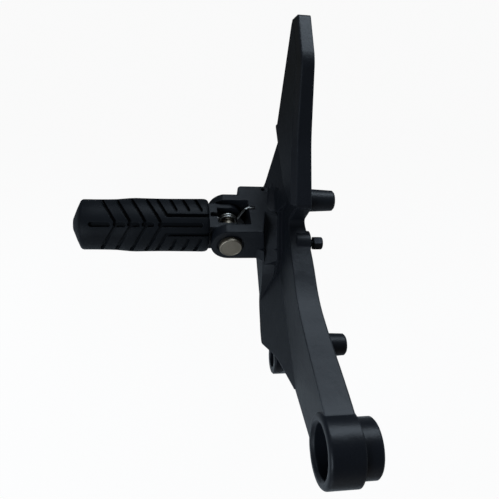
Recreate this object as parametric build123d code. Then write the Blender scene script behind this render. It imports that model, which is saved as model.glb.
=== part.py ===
from build123d import *
import math
import os

# Motorcycle footrest bracket for the right-hand side, in millimetres.
# +X points inboard to the frame of the motorcycle, +Y to the rear, +Z up.
# The origin is the centre of the big bore, at the inner end of its spigot.

# How far a cut runs past the face it opens
cut_over = 1.0

# Main ring
bore_r = 14.0
hub_r = 19.4
hub_length = 18.7
hub_proud = 2.0
hub_rim_round = 2.2
spigot_r = 16.0
spigot_length = 10.9
bore_chamfer = 1.6
spigot_chamfer = 0.8

# Cast plate
arm_face_x = hub_proud - hub_length - spigot_length
arm_thick_ring = 16.4
arm_thick_middle = 14.2
arm_thick_rear = 13.2
guard_root_thick = 9.2
guard_thick = 7.2
guard_root_y = 134.0
guard_proud = 3.2
guard_bevel = 3.0
rim_width = 4.5
web_thick = 4.5
rib_width = 3.6

# Outline of the plate, as Y, Z and corner radius, from the ring along its upper edge
upper_edge = [
    (9.0, 15.0, 0.0),
    (51.0, -34.9, 150.0),
    (70.0, -54.9, 80.0),
    (99.0, -69.7, 120.0),
    (119.0, -78.0, 4.0),
    (126.5, -57.0, 3.0),
    (167.0, -56.0, 80.0),
    (213.0, -46.5, 18.0),
    (245.6, -58.2, 4.0),
]
lower_edge = [
    (239.0, -65.0, 4.5),
    (175.2, -109.0, 80.0),
    (146.0, -123.0, 14.0),
    (128.0, -141.0, 8.0),
    (61.0, -122.0, 60.0),
    (33.5, -108.0, 6.0),
    (29.0, -84.0, 40.0),
    (16.5, -58.0, 60.0),
    (-8.0, -14.0, 0.0),
]

# Front end of the raised guard face, as Y, Z
guard_step = [(183.0, -103.5), (142.0, -80.0), (131.0, -66.0), (126.0, -54.0)]
guard_pad_front = [(146.0, -129.0, 5.0), (105.0, -120.0, 5.0), (105.0, -57.5, 5.0)]

# Pedestal of the clevis: a low foot and a tall step with draft
foot_proud = 3.0
foot_line = [(141.0, -99.0), (127.0, -94.5), (92.0, -94.5), (84.0, -100.0), (60.0, -123.0)]
pedestal_proud = 11.0
pedestal_root = [
    (151.0, -114.0),
    (142.0, -103.0),
    (126.0, -97.5),
    (93.0, -98.0),
    (83.0, -104.0),
    (60.0, -119.5),
]
pedestal_line = [
    (151.0, -122.0),
    (143.3, -116.0),
    (125.0, -100.5),
    (93.0, -105.5),
    (81.0, -109.5),
    (60.0, -121.0),
]
pedestal_under = [(92.0, -133.0), (128.0, -143.0), (146.0, -125.0)]
pedestal_top_y = [57.0, 96.0, 122.7, 149.0]
pedestal_front_drop = 1.6

# Web in front of the near ear
web_round = 6.0
web_top = -4.0

# Relief between the clevis block and the arm
relief_foot_z = -99.0
relief_top_z = -76.0
relief_lean = 0.265

# Ramps of the outer face, each from its crease at face level up to the lower edge
front_ramp = [(84.0, -99.0), (37.0, -68.0), (61.0, -122.0)]
front_ramp_rise = 10.2
front_ramp_region = [(84.0, -99.0), (16.0, -54.0), (8.0, -80.0), (28.0, -125.0), (92.0, -140.0)]
rear_ramp = [(180.0, -112.7), (131.3, -81.6), (160.4, -117.0)]
rear_ramp_rise = 3.3
rear_ramp_region = [(180.0, -112.7), (131.3, -81.6), (125.0, -95.0), (125.0, -145.0), (150.0, -140.0)]

# Part of the guard's edge that has no bevel
plain_edge = [(184.0, -90.0), (184.0, -140.0), (125.0, -140.0), (125.0, -90.0)]

# Ribs across the pockets of the inner side, as Y, Z of both ends
rib_lines = [
    ((44.5, -46.5), (30.0, -100.0)),
    ((44.5, -46.5), (92.0, -128.0)),
    ((92.0, -128.0), (104.3, -79.0)),
    ((131.8, -72.5), (136.0, -130.0)),
    ((131.8, -72.5), (175.0, -106.0)),
    ((131.8, -72.5), (92.0, -128.0)),
    ((175.0, -106.0), (190.0, -50.0)),
]

# Footpeg pivot
pivot_x = -62.7
pivot_y = 115.4
pivot_z = -107.0
pivot_tilt = 45.0
pin_r = 4.0
pin_play = 0.05
pin_head_r = 7.7
pin_head_thick = 3.8
pin_head_chamfer = 0.6
pin_end_chamfer = 0.6

# Clevis, across the pin and along it
ear_r = 13.0
clevis_top = 12.5
clevis_bottom = 13.0
clevis_shift = -0.4
slot_half = 11.6
near_ear_thick = 7.2
far_ear_thick = 5.8
slot_wall = 13.2
block_front = 7.6
block_end = 26.6
block_corner_r = 3.0
spot_face_r = 8.9
spot_face_deep = 0.7
mark_hole_r = 1.3
mark_hole_deep = 4.0
mark_hole_reach = 25.6
mark_hole_along = 23.6
leg_groove_play = 0.3

# Washer and retaining ring on the pin
washer_r = 7.5
washer_thick = 1.0
clip_r = 6.2
clip_thick = 0.9
clip_groove_r = 3.3
clip_gap_angle = 70.0
clip_side_play = 0.05
pin_tail = 2.4

# Footpeg core
side_play = 0.3
lug_thick = 4.2
lug_top = 9.4
lug_bottom = 11.3
heel_play = 0.1
heel_start = 4.0
leg_notch_wide = 3.6
leg_notch_play = 0.6
lug_gap_reach = 8.0
shoulder_reach = 14.1
core_r = 8.5
collar_r = 10.5
collar_long = 5.0
collar_places = [30.0, 56.0, 80.0]
core_end = 98.0
core_end_chamfer = 1.5

# Rubber sleeve
rubber_r = 17.9
rubber_tip_r = 16.5
rubber_tip_long = 30.0
rubber_end = 101.8
rubber_dome = 6.2
rubber_dome_bend = (2.2, 11.3)
rubber_step_long = 2.0
rubber_flat_r = 4.0
rubber_root_round = 2.0
rubber_grip_play = 0.05
groove_wide = 1.5
groove_deep = 1.7
groove_floor_z = 3.5

# Tread pattern: reach is measured outboard from the pivot, side from the middle of the peg
bar_wide = 2.4
long_bar = (20.0, 46.0)
tip_bar = (78.9, 89.4)
mid_bar_first = 51.4
mid_bar_long = 4.9
mid_bar_pitch = 9.0
mid_bar_count = 3
arm_root_side = 2.4
arm_lean = 10.1
arm_count = 4
arm_pitch = 9.6
arm_first = 74.9
long_arm_reach = 42.0
long_arm_side = 6.2
long_arm_lean = 7.2
short_arm_count = 3
short_arm_pitch = 8.2
short_arm_reach = 36.2
short_arm_side = 9.9
short_arm_lean = 4.2
tread_side = 18.2

# Return spring
wire_r = 1.0
coil_r = 6.0
coil_pitch = 2.1
coil_turns = 2.44
coil_near_end = -1.2
leg_lead = 3.0
leg_bend_r = 2.0
leg_hook_long = 4.0
leg_hook_along = -4.6
leg_hook_w = 12.7
leg_wall_gap = 1.6
leg_rest_reach = 12.3
leg_rest_w = 6.2

# Stub posts on the inner side, as Y, Z
stub_places = [(131.8, -72.5), (44.5, -46.5)]
stub_end_x = 0.0
stub_root_r = 7.6
stub_tip_r = 6.5
stub_chamfer = 0.9
stub_hole_r = 2.5
stub_hole_deep = 14.0
stub_pad_r = 9.5

# Lower boss
boss_y = 20.0
boss_z = -117.0
boss_r = 11.2
boss_bore_r = 6.5
boss_outer_x = -29.0
boss_inner_x = -4.0
boss_chamfer = 0.8
lug_outer_x = -23.5
lug_inner_x = -13.0
lug_root = [(24.0, -84.0), (50.0, -117.0)]

# Stop bolt
bolt_y = 104.3
bolt_z = -79.0
bolt_r = 2.5
bolt_play = 0.05
bolt_neck = 3.3
bolt_head_long = 5.8
bolt_head_flats = 8.0
bolt_head_chamfer = 0.5
bolt_boss_r = 8.0
bolt_boss_x = -14.0
bolt_grip = 9.0
bolt_end_gap = 1.0
bolt_head_sides = 6

os.makedirs("parts", exist_ok=True)

inboard = Vector(1, 0, 0)
pivot = Vector(pivot_x, pivot_y, pivot_z)
tilt = math.radians(pivot_tilt)
cos_45 = math.sqrt(0.5)
pin_way = Vector(0, -math.sin(tilt), math.cos(tilt))
fold_way = Vector(0, math.cos(tilt), math.sin(tilt))
pivot_reach = arm_face_x - pivot_x
slot_near = clevis_shift + slot_half
slot_far = clevis_shift - slot_half
ear_near = slot_near + near_ear_thick
ear_far = slot_far - far_ear_thick


def across(along):
    """Plane square to the pin, at a place along it: X inboard, Y the way the peg folds."""
    return Plane(origin=pivot + pin_way * along, x_dir=(1, 0, 0), z_dir=pin_way)


def side_plane(x):
    """Plane of the plate at a place inboard: X to the rear, Y up."""
    return Plane(origin=(x, 0, 0), x_dir=(0, 1, 0), z_dir=(1, 0, 0))


def side_face(points, x):
    return side_plane(x) * make_face(Polyline(*points, close=True))


def rounded_face(corners, x):
    points = [(y, z) for y, z, r in corners]
    radii = [r for y, z, r in corners]
    return side_plane(x) * make_face(FilletPolyline(*points, radius=radii, close=True))


def pin_cylinder(radius, start, end):
    disc = across(start) * Circle(radius)
    return extrude(disc, amount=end - start, dir=pin_way)


def inboard_cylinder(radius, y, z, start, end):
    disc = side_plane(start) * Pos(y, z) * Circle(radius)
    return extrude(disc, amount=end - start, dir=inboard)


def turned_part(profile):
    """Solid turned about the X axis, from points of X and radius."""
    return revolve(make_face(Polyline(*profile, close=True)), axis=Axis.X, revolution_arc=360)


def inner_side_x(thick):
    return arm_face_x + thick


def plate_solids():
    """The full outline as a tall block, and the plate cut from it, thinner to the rear."""
    tall = rounded_face(upper_edge + lower_edge, arm_face_x - pedestal_proud)
    outline = extrude(tall, amount=pedestal_proud + arm_thick_ring, dir=inboard)
    guard_x = inner_side_x(guard_thick)
    root_x = inner_side_x(guard_root_thick)
    rear_y = upper_edge[-1][0] + hub_r
    curve = Spline(
        (inner_side_x(arm_thick_ring), hub_r),
        (inner_side_x(arm_thick_middle), upper_edge[2][0]),
        (inner_side_x(arm_thick_rear), upper_edge[3][0]),
        (root_x, guard_root_y),
        tangents=((0, 1), (0, 1)),
    )
    rest = Polyline(
        (root_x, guard_root_y),
        (guard_x, upper_edge[-2][0]),
        (guard_x, rear_y),
        (arm_face_x, rear_y),
        (arm_face_x, -hub_r),
        (inner_side_x(arm_thick_ring), -hub_r),
        (inner_side_x(arm_thick_ring), hub_r),
    )
    section = Plane.XY.offset(2 * pivot_z) * make_face(curve + rest)
    slab = extrude(section, amount=hub_r - 2 * pivot_z, dir=(0, 0, 1))
    return outline, outline & slab


def inset(corners, distance):
    """Corners moved inward by a distance, with their arcs kept about the same centres."""
    moved = []
    for i, (y, z, r) in enumerate(corners):
        here = Vector(y, z)
        before = (here - Vector(*corners[i - 1][:2])).normalized()
        after = (Vector(*corners[(i + 1) % len(corners)][:2]) - here).normalized()
        in_before = Vector(before.Y, -before.X)
        in_after = Vector(after.Y, -after.X)
        shift = (in_before + in_after) * (distance / (1 + in_before.dot(in_after)))
        hollow = before.cross(after).Z > 0
        place = here + shift
        moved.append((place.X, place.Y, r + distance if hollow else r - distance))
    return moved


def guard_pad():
    """Raised face of the heel guard, with a wide bevel round most of its edge."""
    corners = upper_edge[-3:] + lower_edge[:2] + guard_pad_front
    straight = guard_proud - guard_bevel
    base = rounded_face(corners, arm_face_x - straight)
    crown = rounded_face(inset(corners, guard_bevel), arm_face_x - guard_proud)
    pad = extrude(base, amount=straight, dir=inboard) + loft([base, crown])
    full = extrude(rounded_face(corners, arm_face_x - guard_proud), amount=guard_proud, dir=inboard)
    plain = extrude(side_face(plain_edge, arm_face_x - guard_proud), amount=guard_proud, dir=inboard)
    pad += full & plain
    rear_y = upper_edge[-1][0] + hub_r
    region = guard_step + [(guard_step[-1][0], hub_r), (rear_y, hub_r), (rear_y, guard_step[0][1])]
    area = extrude(side_face(region, arm_face_x - guard_proud), amount=guard_proud, dir=inboard)
    return pad & area


def pedestal_foot():
    """Low step round the foot of the pedestal."""
    region = foot_line + pedestal_under
    return extrude(side_face(region, arm_face_x - foot_proud), amount=foot_proud * 2, dir=inboard)


def pedestal_step():
    """Tall step that carries the clevis, with a sloping flank and a top that falls both ways."""
    top_x = arm_face_x - pedestal_proud
    base = side_face(pedestal_root + pedestal_under, arm_face_x)
    crown = side_face(pedestal_line + pedestal_under, top_x)
    step = loft([base, crown], ruled=True)
    front_end, front_start, rear_start, rear_end = pedestal_top_y
    top = [
        (front_end, top_x + pedestal_front_drop),
        (front_start, top_x),
        (rear_start, top_x),
        (rear_end, arm_face_x - foot_proud),
    ]
    under = [(rear_end + hub_r, arm_face_x - foot_proud), (rear_end + hub_r, arm_face_x)]
    outline = [(x, y) for y, x in top + under + [(front_end, arm_face_x)]]
    side = Plane.XY.offset(2 * pivot_z) * make_face(Polyline(*outline, close=True))
    return step & extrude(side, amount=-2 * pivot_z, dir=(0, 0, 1))


def ramp(points, rise, region):
    """Part of the outer face that climbs from a crease, its first two points, to the third."""
    low = Vector(arm_face_x, *points[0])
    along = Vector(arm_face_x, *points[1]) - low
    high = Vector(arm_face_x - rise, *points[2])
    normal = along.cross(high - low).normalized()
    if normal.X > 0:
        normal = normal * -1
    slope = Plane(origin=low, x_dir=along, z_dir=normal)
    top_x = arm_face_x - 2 * pedestal_proud
    block = extrude(side_face(region, top_x), amount=3 * pedestal_proud, dir=inboard)
    big = -4 * pivot_z
    above = slope * Box(big, big, big, align=(Align.CENTER, Align.CENTER, Align.MIN))
    return block - above


def ring():
    """Hub and spigot, turned about the bore's own axis, with the bore left solid."""
    outer_x = arm_face_x - hub_proud
    profile = [
        (outer_x, 0),
        (outer_x, hub_r - hub_rim_round),
        (outer_x + hub_rim_round, hub_r),
        (-spigot_length, hub_r),
        (-spigot_length, spigot_r),
        (-spigot_chamfer, spigot_r),
        (0, spigot_r - spigot_chamfer),
        (0, 0),
    ]
    rim = ThreePointArc(
        profile[1],
        (
            outer_x + hub_rim_round * (1 - cos_45),
            hub_r - hub_rim_round * (1 - cos_45),
        ),
        profile[2],
    )
    line = Polyline(*profile[:2]) + rim + Polyline(*profile[2:]) + Line(profile[-1], profile[0])
    return revolve(make_face(line), axis=Axis.X, revolution_arc=360)


def bore_cut():
    outer_x = arm_face_x - hub_proud
    profile = [
        (outer_x - cut_over, 0),
        (outer_x - cut_over, bore_r + bore_chamfer + cut_over),
        (outer_x + bore_chamfer, bore_r),
        (cut_over, bore_r),
        (cut_over, 0),
    ]
    return turned_part(profile)


def clevis_body():
    """Block and two ears, square to the pin, still without the slot and the holes."""
    depth = pivot_reach + pedestal_proud / 2
    corners = [(0, clevis_top), (depth, clevis_top), (depth, -clevis_bottom), (0, -clevis_bottom)]
    ears = Circle(ear_r) + make_face(Polyline(*corners, close=True))
    level = Rectangle(4 * pivot_reach, clevis_top + clevis_bottom)
    level = Pos(0, (clevis_top - clevis_bottom) / 2) * level
    body = extrude(across(ear_far) * (ears & level), amount=ear_near - ear_far, dir=pin_way)
    under = Plane(origin=pivot - fold_way * clevis_bottom, x_dir=(1, 0, 0), z_dir=fold_way)
    block = make_face(
        FilletPolyline(
            (block_front, -slot_far),
            (block_front, block_end),
            (depth, block_end),
            (depth, -slot_far),
            radius=[0, block_corner_r, 0, 0],
            close=True,
        )
    )
    body += extrude(under * block, amount=clevis_top + clevis_bottom, dir=fold_way)
    return body + near_web() - clevis_relief()


def near_web():
    """Concave web from the near ear down to the face of the pedestal."""
    end = pivot_reach - pedestal_proud
    start = end - web_round
    bend = web_round * (1 - cos_45)
    arc = ThreePointArc((start, ear_near), (end - bend, ear_near + bend), (end, ear_near + web_round))
    rest = Polyline(
        (end, ear_near + web_round),
        (pivot_reach, ear_near + web_round),
        (pivot_reach, slot_near),
        (start, slot_near),
        (start, ear_near),
    )
    under = Plane(origin=pivot - fold_way * clevis_bottom, x_dir=(1, 0, 0), z_dir=-fold_way)
    web = make_face(arc + rest)
    return extrude(under * web, amount=clevis_bottom + web_top, dir=fold_way)


def clevis_relief():
    """Space between the upper part of the clevis and the arm, above the pedestal's flank."""
    foot_x = arm_face_x - pedestal_proud
    top_x = foot_x - relief_lean * (relief_top_z - relief_foot_z)
    inner_x = arm_face_x + pedestal_proud
    points = [
        (foot_x, relief_foot_z),
        (top_x, relief_top_z),
        (inner_x, relief_top_z),
        (inner_x, relief_foot_z + foot_proud),
        (arm_face_x - foot_proud, relief_foot_z + foot_proud),
    ]
    side = Plane.XZ * make_face(Polyline(*points, close=True))
    return extrude(side, amount=2 * pivot_y, dir=(0, 1, 0))


def clevis_cut():
    """Slot, pin holes, spot face, spring leg groove and the small marking hole."""
    width = slot_near - slot_far
    slot_long = slot_wall + 2 * ear_r
    slot = across(slot_far) * Pos(slot_wall - slot_long / 2, 0) * Rectangle(slot_long, 4 * ear_r)
    cut = extrude(slot, amount=width, dir=pin_way)
    cut += pin_cylinder(pin_r + pin_play, ear_far - cut_over, ear_near + cut_over)
    cut += pin_cylinder(spot_face_r, ear_near - spot_face_deep, ear_near + cut_over)
    hole = pivot + inboard * mark_hole_reach - pin_way * mark_hole_along + fold_way * clevis_top
    drill = Plane(origin=hole, z_dir=fold_way) * Circle(mark_hole_r)
    cut += extrude(drill, amount=mark_hole_deep, both=True)
    groove_w = leg_hook_w - wire_r - leg_groove_play
    groove_long = leg_hook_long + leg_groove_play
    groove = Pos(slot_wall + groove_long / 2, groove_w + clevis_top / 2)
    groove *= Rectangle(groove_long, clevis_top)
    half_wide = wire_r + leg_groove_play
    cut += extrude(across(leg_hook_along - half_wide) * groove, amount=2 * half_wide, dir=pin_way)
    return cut


def stub_post(y, z):
    """Tapered cast post on the inner side, ending on the mounting plane."""
    root_x = arm_face_x + web_thick
    profile = [
        (root_x, 0),
        (root_x, stub_root_r),
        (stub_end_x - stub_chamfer, stub_tip_r),
        (stub_end_x, stub_tip_r - stub_chamfer),
        (stub_end_x, 0),
    ]
    return Pos(0, y, z) * turned_part(profile)


def lower_boss():
    boss = Pos(0, boss_y, boss_z) * turned_part(
        [
            (boss_outer_x, 0),
            (boss_outer_x, boss_r - boss_chamfer),
            (boss_outer_x + boss_chamfer, boss_r),
            (boss_inner_x - boss_chamfer, boss_r),
            (boss_inner_x, boss_r - boss_chamfer),
            (boss_inner_x, 0),
        ]
    )
    centre = Vector(boss_y, boss_z)
    ends = [Vector(*p) for p in lug_root]
    touch = []
    for end, turn in zip(ends, (1, -1)):
        gap = end - centre
        lean = math.acos(boss_r / gap.length)
        angle = math.atan2(gap.Y, gap.X) + turn * lean
        touch.append(centre + Vector(math.cos(angle), math.sin(angle)) * boss_r)
    corners = [ends[0], touch[0], centre, touch[1], ends[1]]
    lug = side_face([(p.X, p.Y) for p in corners], lug_outer_x)
    return boss + extrude(lug, amount=lug_inner_x - lug_outer_x, dir=inboard)


def inner_pockets():
    """Pockets of the inner side, between the rim, the ribs and the bosses."""
    floor_x = arm_face_x + web_thick
    whole = rounded_face(upper_edge + lower_edge, floor_x)
    open_area = offset(whole, -rim_width, kind=Kind.INTERSECTION)
    for y, z in stub_places:
        open_area -= side_plane(floor_x) * Pos(y, z) * Circle(stub_pad_r)
    open_area -= side_plane(floor_x) * Pos(bolt_y, bolt_z) * Circle(bolt_boss_r)
    open_area -= side_plane(floor_x) * Circle(hub_r + rim_width / 2)
    for start, end in rib_lines:
        rib = Line(start, end)
        middle = rib @ 0.5
        angle = math.degrees(math.atan2((rib % 0).Y, (rib % 0).X))
        bar = Pos(middle.X, middle.Y) * Rot(0, 0, angle) * Rectangle(rib.length, rib_width)
        open_area -= side_plane(floor_x) * bar
    return extrude(open_area, amount=arm_thick_ring, dir=inboard)


def casting():
    outline, plate = plate_solids()
    body = plate + guard_pad()
    body += ramp(front_ramp, front_ramp_rise, front_ramp_region) & outline
    body += ramp(rear_ramp, rear_ramp_rise, rear_ramp_region) & outline
    body += (pedestal_foot() + pedestal_step()) & outline
    body -= inner_pockets()
    body += ring() + clevis_body() + lower_boss()
    for y, z in stub_places:
        body += stub_post(y, z)
    boss_start = arm_face_x + web_thick
    body += inboard_cylinder(bolt_boss_r, bolt_y, bolt_z, boss_start, bolt_boss_x)
    body -= clevis_cut()
    body -= bore_cut()
    for y, z in stub_places:
        body -= inboard_cylinder(stub_hole_r, y, z, stub_end_x - stub_hole_deep, stub_end_x)
    body -= inboard_cylinder(boss_bore_r, boss_y, boss_z, boss_outer_x, boss_inner_x)
    body -= inboard_cylinder(bolt_r + bolt_play, bolt_y, bolt_z, bolt_boss_x - bolt_grip, bolt_boss_x)
    return body


def core_profile(extra):
    """Half section of the bar and its collars inside the rubber, along the peg."""
    root_x = pivot_x - shoulder_reach
    points = [(root_x, 0), (root_x, core_r + extra)]
    for reach in collar_places:
        start = pivot_x - reach
        points.append((start, core_r + extra))
        points.append((start - (collar_r - core_r), collar_r + extra))
        points.append((start - collar_long, collar_r + extra))
        points.append((start - collar_long, core_r + extra))
    tip_x = pivot_x - core_end - extra
    points.append((tip_x + core_end_chamfer, core_r + extra))
    points.append((tip_x, core_r + extra - core_end_chamfer))
    points.append((tip_x, 0))
    return points


def peg_axis_part(profile):
    """Solid turned about the footpeg's own axis, from points of X and radius."""
    return Pos(0, pivot_y, pivot_z) * turned_part(profile)


def peg_core():
    """Bar of the footpeg with its shoulder and the two lugs that ride on the pin."""
    near = slot_near - side_play
    far = slot_far + side_play
    back = slot_wall - heel_play
    bend = cos_45 * lug_top
    nose = ThreePointArc((0, lug_top), (bend, bend), (lug_top, 0))
    heel = Polyline((lug_top, 0), (back, -heel_start), (back, -lug_bottom), (-shoulder_reach, -lug_bottom))
    top = Polyline((-shoulder_reach, -lug_bottom), (-shoulder_reach, lug_top), (0, lug_top))
    side = across(far) * make_face(nose + heel + top)
    core = extrude(side, amount=near - far, dir=pin_way)
    tall = 2 * (lug_top + lug_bottom)
    gap_long = lug_gap_reach + slot_wall
    gap = Pos(slot_wall / 2 - lug_gap_reach / 2, 0) * Rectangle(gap_long, tall)
    core -= extrude(across(far + lug_thick) * gap, amount=near - far - 2 * lug_thick, dir=pin_way)
    core -= pin_cylinder(pin_r + pin_play, far - side_play, near + side_play)
    notch_long = leg_rest_reach + leg_groove_play
    notch_floor = leg_rest_w - wire_r - leg_notch_play
    notch = across(coil_near_end - leg_notch_wide / 2) * Pos(-notch_long / 2, notch_floor + tall / 2)
    notch *= Rectangle(notch_long, tall)
    core -= extrude(notch, amount=leg_notch_wide, dir=pin_way)
    return core + peg_axis_part(core_profile(0))


def rubber_body():
    """Outer form of the sleeve: domed tip, slightly waisted outer end, rounded root."""
    tip_x = pivot_x - rubber_end
    root_x = pivot_x - shoulder_reach
    step_x = tip_x + rubber_tip_long
    dome = ThreePointArc(
        (tip_x, rubber_flat_r),
        (tip_x + rubber_dome_bend[0], rubber_dome_bend[1]),
        (tip_x + rubber_dome, rubber_tip_r),
    )
    body = Polyline(
        (tip_x + rubber_dome, rubber_tip_r),
        (step_x - rubber_step_long, rubber_tip_r),
        (step_x, rubber_r),
        (root_x - rubber_root_round, rubber_r),
        (root_x, rubber_r - rubber_root_round),
        (root_x, 0),
        (tip_x, 0),
        (tip_x, rubber_flat_r),
    )
    solid = revolve(make_face(dome + body), axis=Axis.X, revolution_arc=360)
    return Pos(0, pivot_y, pivot_z) * solid


def tread_bar(start, end, wide):
    """One straight groove of the tread, given by reach and side of both ends."""
    line = Line((-start[0], start[1]), (-end[0], end[1]))
    middle = line @ 0.5
    angle = math.degrees(math.atan2((line % 0).Y, (line % 0).X))
    return Pos(middle.X, middle.Y) * Rot(0, 0, angle) * SlotOverall(line.length, wide)


def tread_pattern():
    """Grooves of one face of the tread, flat, with X along the peg from the pivot."""
    pattern = Sketch()
    for start, end in (long_bar, tip_bar):
        pattern += tread_bar((start, 0), (end, 0), bar_wide)
    for i in range(mid_bar_count):
        start = mid_bar_first + i * mid_bar_pitch
        pattern += tread_bar((start, 0), (start + mid_bar_long, 0), bar_wide)
    for side in (1, -1):
        for i in range(arm_count):
            foot = arm_first - i * arm_pitch
            outer = (foot + arm_lean, side * tread_side)
            pattern += tread_bar((foot, side * arm_root_side), outer, groove_wide)
        elbow = (long_arm_reach, side * long_arm_side)
        outer = (long_arm_reach + long_arm_lean, side * tread_side)
        pattern += tread_bar(elbow, outer, groove_wide)
        pattern += tread_bar(elbow, (shoulder_reach - cut_over, side * long_arm_side), groove_wide)
        for i in range(short_arm_count):
            foot = short_arm_reach - i * short_arm_pitch
            outer = (foot + short_arm_lean, side * tread_side)
            pattern += tread_bar((foot, side * short_arm_side), outer, groove_wide)
    return pattern


def rubber_sleeve():
    sleeve = rubber_body()
    start = Plane(origin=pivot + Vector(0, 0, groove_floor_z), x_dir=(1, 0, 0), z_dir=(0, 0, 1))
    grooves = extrude(start * tread_pattern(), amount=rubber_r, dir=(0, 0, 1))
    middle = Pos(pivot_x - rubber_end / 2, pivot_y, pivot_z) * Rot(0, 90, 0)
    grooves -= middle * Cylinder(rubber_r - groove_deep, rubber_end * 2)
    sleeve -= grooves
    sleeve -= mirror(grooves, about=Plane.XY.offset(pivot_z))
    return sleeve - peg_axis_part(core_profile(rubber_grip_play))


def pivot_pin():
    """Headed pin with a groove for its retaining ring."""
    washer_end = ear_far - washer_thick
    groove_near = washer_end
    groove_end = groove_near - clip_thick - 2 * clip_side_play
    end = groove_end - pin_tail
    head_start = ear_near - spot_face_deep
    head_end = head_start + pin_head_thick
    profile = [
        (0, end),
        (pin_r - pin_end_chamfer, end),
        (pin_r, end + pin_end_chamfer),
        (pin_r, groove_end),
        (clip_groove_r, groove_end),
        (clip_groove_r, groove_near),
        (pin_r, groove_near),
        (pin_r, head_start),
        (pin_head_r, head_start),
        (pin_head_r, head_end - pin_head_chamfer),
        (pin_head_r - pin_head_chamfer, head_end),
        (0, head_end),
    ]
    turned = revolve(Plane.XZ * make_face(Polyline(*profile, close=True)), axis=Axis.Z)
    return across(0) * turned


def pin_washer():
    ring_face = across(ear_far - washer_thick) * (Circle(washer_r) - Circle(pin_r + pin_play))
    return extrude(ring_face, amount=washer_thick, dir=pin_way)


def pin_circlip():
    """Open retaining ring, seated in the groove of the pin."""
    start = ear_far - washer_thick - clip_side_play - clip_thick
    ring_face = Circle(clip_r) - Circle(clip_groove_r + pin_play)
    reach = 3 * clip_r
    half_gap = math.radians(clip_gap_angle / 2)
    gap = make_face(
        Polyline(
            (0, 0),
            (-reach * math.cos(half_gap), reach * math.sin(half_gap)),
            (-reach * math.cos(half_gap), -reach * math.sin(half_gap)),
            close=True,
        )
    )
    return extrude(across(start) * (ring_face - gap), amount=clip_thick, dir=pin_way)


def tube(path):
    """Round wire along a path."""
    return sweep(Plane(origin=path @ 0, z_dir=path % 0) * Circle(wire_r), path=path)


def return_spring():
    """Torsion spring round the pin: one leg on the block's top, one on the peg's shoulder."""
    long = coil_pitch * coil_turns
    far_end = coil_near_end - long
    start_angle = 360 * coil_turns - 180
    coil = across(far_end) * Rot(0, 0, start_angle) * Helix(coil_pitch, long, coil_r, lefthand=True)
    start = coil @ 0
    end = coil @ 1
    lead = start - (coil % 0) * leg_lead
    bend = pivot + inboard * (slot_wall - leg_wall_gap) + fold_way * leg_hook_w + pin_way * leg_hook_along
    hook_end = bend + inboard * (leg_wall_gap + leg_hook_long)
    rise = coil % 1
    elbow = end + rise * (leg_rest_w / rise.dot(fold_way))
    rest = elbow - inboard * (leg_rest_reach - coil_r)
    wire_end = Plane(origin=start, z_dir=coil % 0) * Circle(wire_r)
    spring = sweep(wire_end, path=coil, is_frenet=True)
    spring += tube(FilletPolyline(start, lead, bend, hook_end, radius=leg_bend_r))
    return spring + tube(FilletPolyline(end, elbow, rest, radius=leg_bend_r))


def stop_bolt():
    """Small hex-head bolt, screwed part of the way into the inner side of the arm."""
    head_start = bolt_boss_x + bolt_neck
    shank = inboard_cylinder(bolt_r, bolt_y, bolt_z, bolt_boss_x - bolt_grip + bolt_end_gap, head_start)
    hexagon = RegularPolygon(bolt_head_flats / 2, bolt_head_sides, major_radius=False)
    base = side_plane(head_start) * Pos(bolt_y, bolt_z) * hexagon
    head = extrude(base, amount=bolt_head_long, dir=inboard)
    outer_rim = head.faces().sort_by(Axis.X)[-1].edges()
    return shank + chamfer(outer_rim, bolt_head_chamfer)


pieces = {
    "bracket_casting": casting,
    "peg_core": peg_core,
    "rubber_sleeve": rubber_sleeve,
    "pivot_pin": pivot_pin,
    "pin_washer": pin_washer,
    "pin_circlip": pin_circlip,
    "return_spring": return_spring,
    "stop_bolt": stop_bolt,
}
for name, make in pieces.items():
    solid = make()
    export_step(solid, f"parts/{name}.step")
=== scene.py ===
import math

import bpy
from bpy.props import FloatProperty, FloatVectorProperty, IntProperty, PointerProperty
from mathutils import Matrix, Vector


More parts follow.
